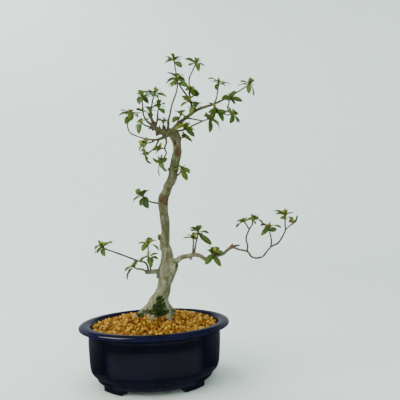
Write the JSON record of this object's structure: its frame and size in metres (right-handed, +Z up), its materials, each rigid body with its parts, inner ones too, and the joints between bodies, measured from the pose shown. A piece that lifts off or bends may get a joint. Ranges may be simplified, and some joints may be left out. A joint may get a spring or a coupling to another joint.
{
  "type": "satsuki azalea bonsai",
  "caption": "slender slanting azalea bonsai with small leaf whorls at the twig ends, rooted in granular soil in a glazed oval pot on four feet",
  "frame": {"origin": "middle of the box round the whole bonsai, at the height of the surface that the pot's feet stand on", "axes": "+Z up; +X along the pot's length, to the right as seen from the front; +Y away from the viewer"},
  "size_m": [0.252, 0.14, 0.3989],
  "materials": {
    "cobalt_glaze": "gloss cobalt-blue glaze, pooled darker in the folds",
    "akadama": "matt fired-clay granules, golden brown with paler and redder ones",
    "azalea_bark": "matt grey-beige bark with fine lengthwise cracks and brown scars",
    "azalea_leaf": "slightly glossy green leaves with a paler keel, yellow-green when young",
    "mesh_plastic": "matt black moulded mesh"
  },
  "bodies": {
    "root": {"drain_screen_left": "mesh_plastic", "drain_screen_right": "mesh_plastic", "pot": "cobalt_glaze", "shoot_apex": "azalea_leaf", "shoot_below_apex": "azalea_leaf", "shoot_beside_crown": "azalea_leaf", "shoot_beside_trunk": "azalea_leaf", "shoot_branch_bud": "azalea_leaf", "shoot_branch_tip": "azalea_leaf", "shoot_crown_side": "azalea_leaf", "shoot_crown_twig": "azalea_leaf", "shoot_far_left": "azalea_leaf", "shoot_fork": "azalea_leaf", "shoot_inner_leaf": "azalea_leaf", "shoot_inner_left": "azalea_leaf", "shoot_inner_low": "azalea_leaf", "shoot_left_heart": "azalea_leaf", "shoot_left_low": "azalea_leaf", "shoot_left_middle": "azalea_leaf", "shoot_left_outer": "azalea_leaf", "shoot_left_side": "azalea_leaf", "shoot_left_tall": "azalea_leaf", "shoot_over_crown": "azalea_leaf", "shoot_right_hanging": "azalea_leaf", "shoot_right_hanging_low": "azalea_leaf", "shoot_right_last": "azalea_leaf", "shoot_right_left_twin": "azalea_leaf", "shoot_right_middle": "azalea_leaf", "shoot_right_of_branch": "azalea_leaf", "shoot_right_right_twin": "azalea_leaf", "shoot_right_top": "azalea_leaf", "shoot_right_twin": "azalea_leaf", "shoot_right_upright": "azalea_leaf", "shoot_small_bright": "azalea_leaf", "shoot_stub_forward": "azalea_leaf", "shoot_stub_upright": "azalea_leaf", "shoot_top_cone": "azalea_leaf", "shoot_trunk_right": "azalea_leaf", "shoot_under_branch": "azalea_leaf", "shoot_under_upper": "azalea_leaf", "shoot_upper_back": "azalea_leaf", "shoot_upper_right": "azalea_leaf", "soil": "akadama", "trunk_and_branches": "azalea_bark"}
  },
  "joints": []
}
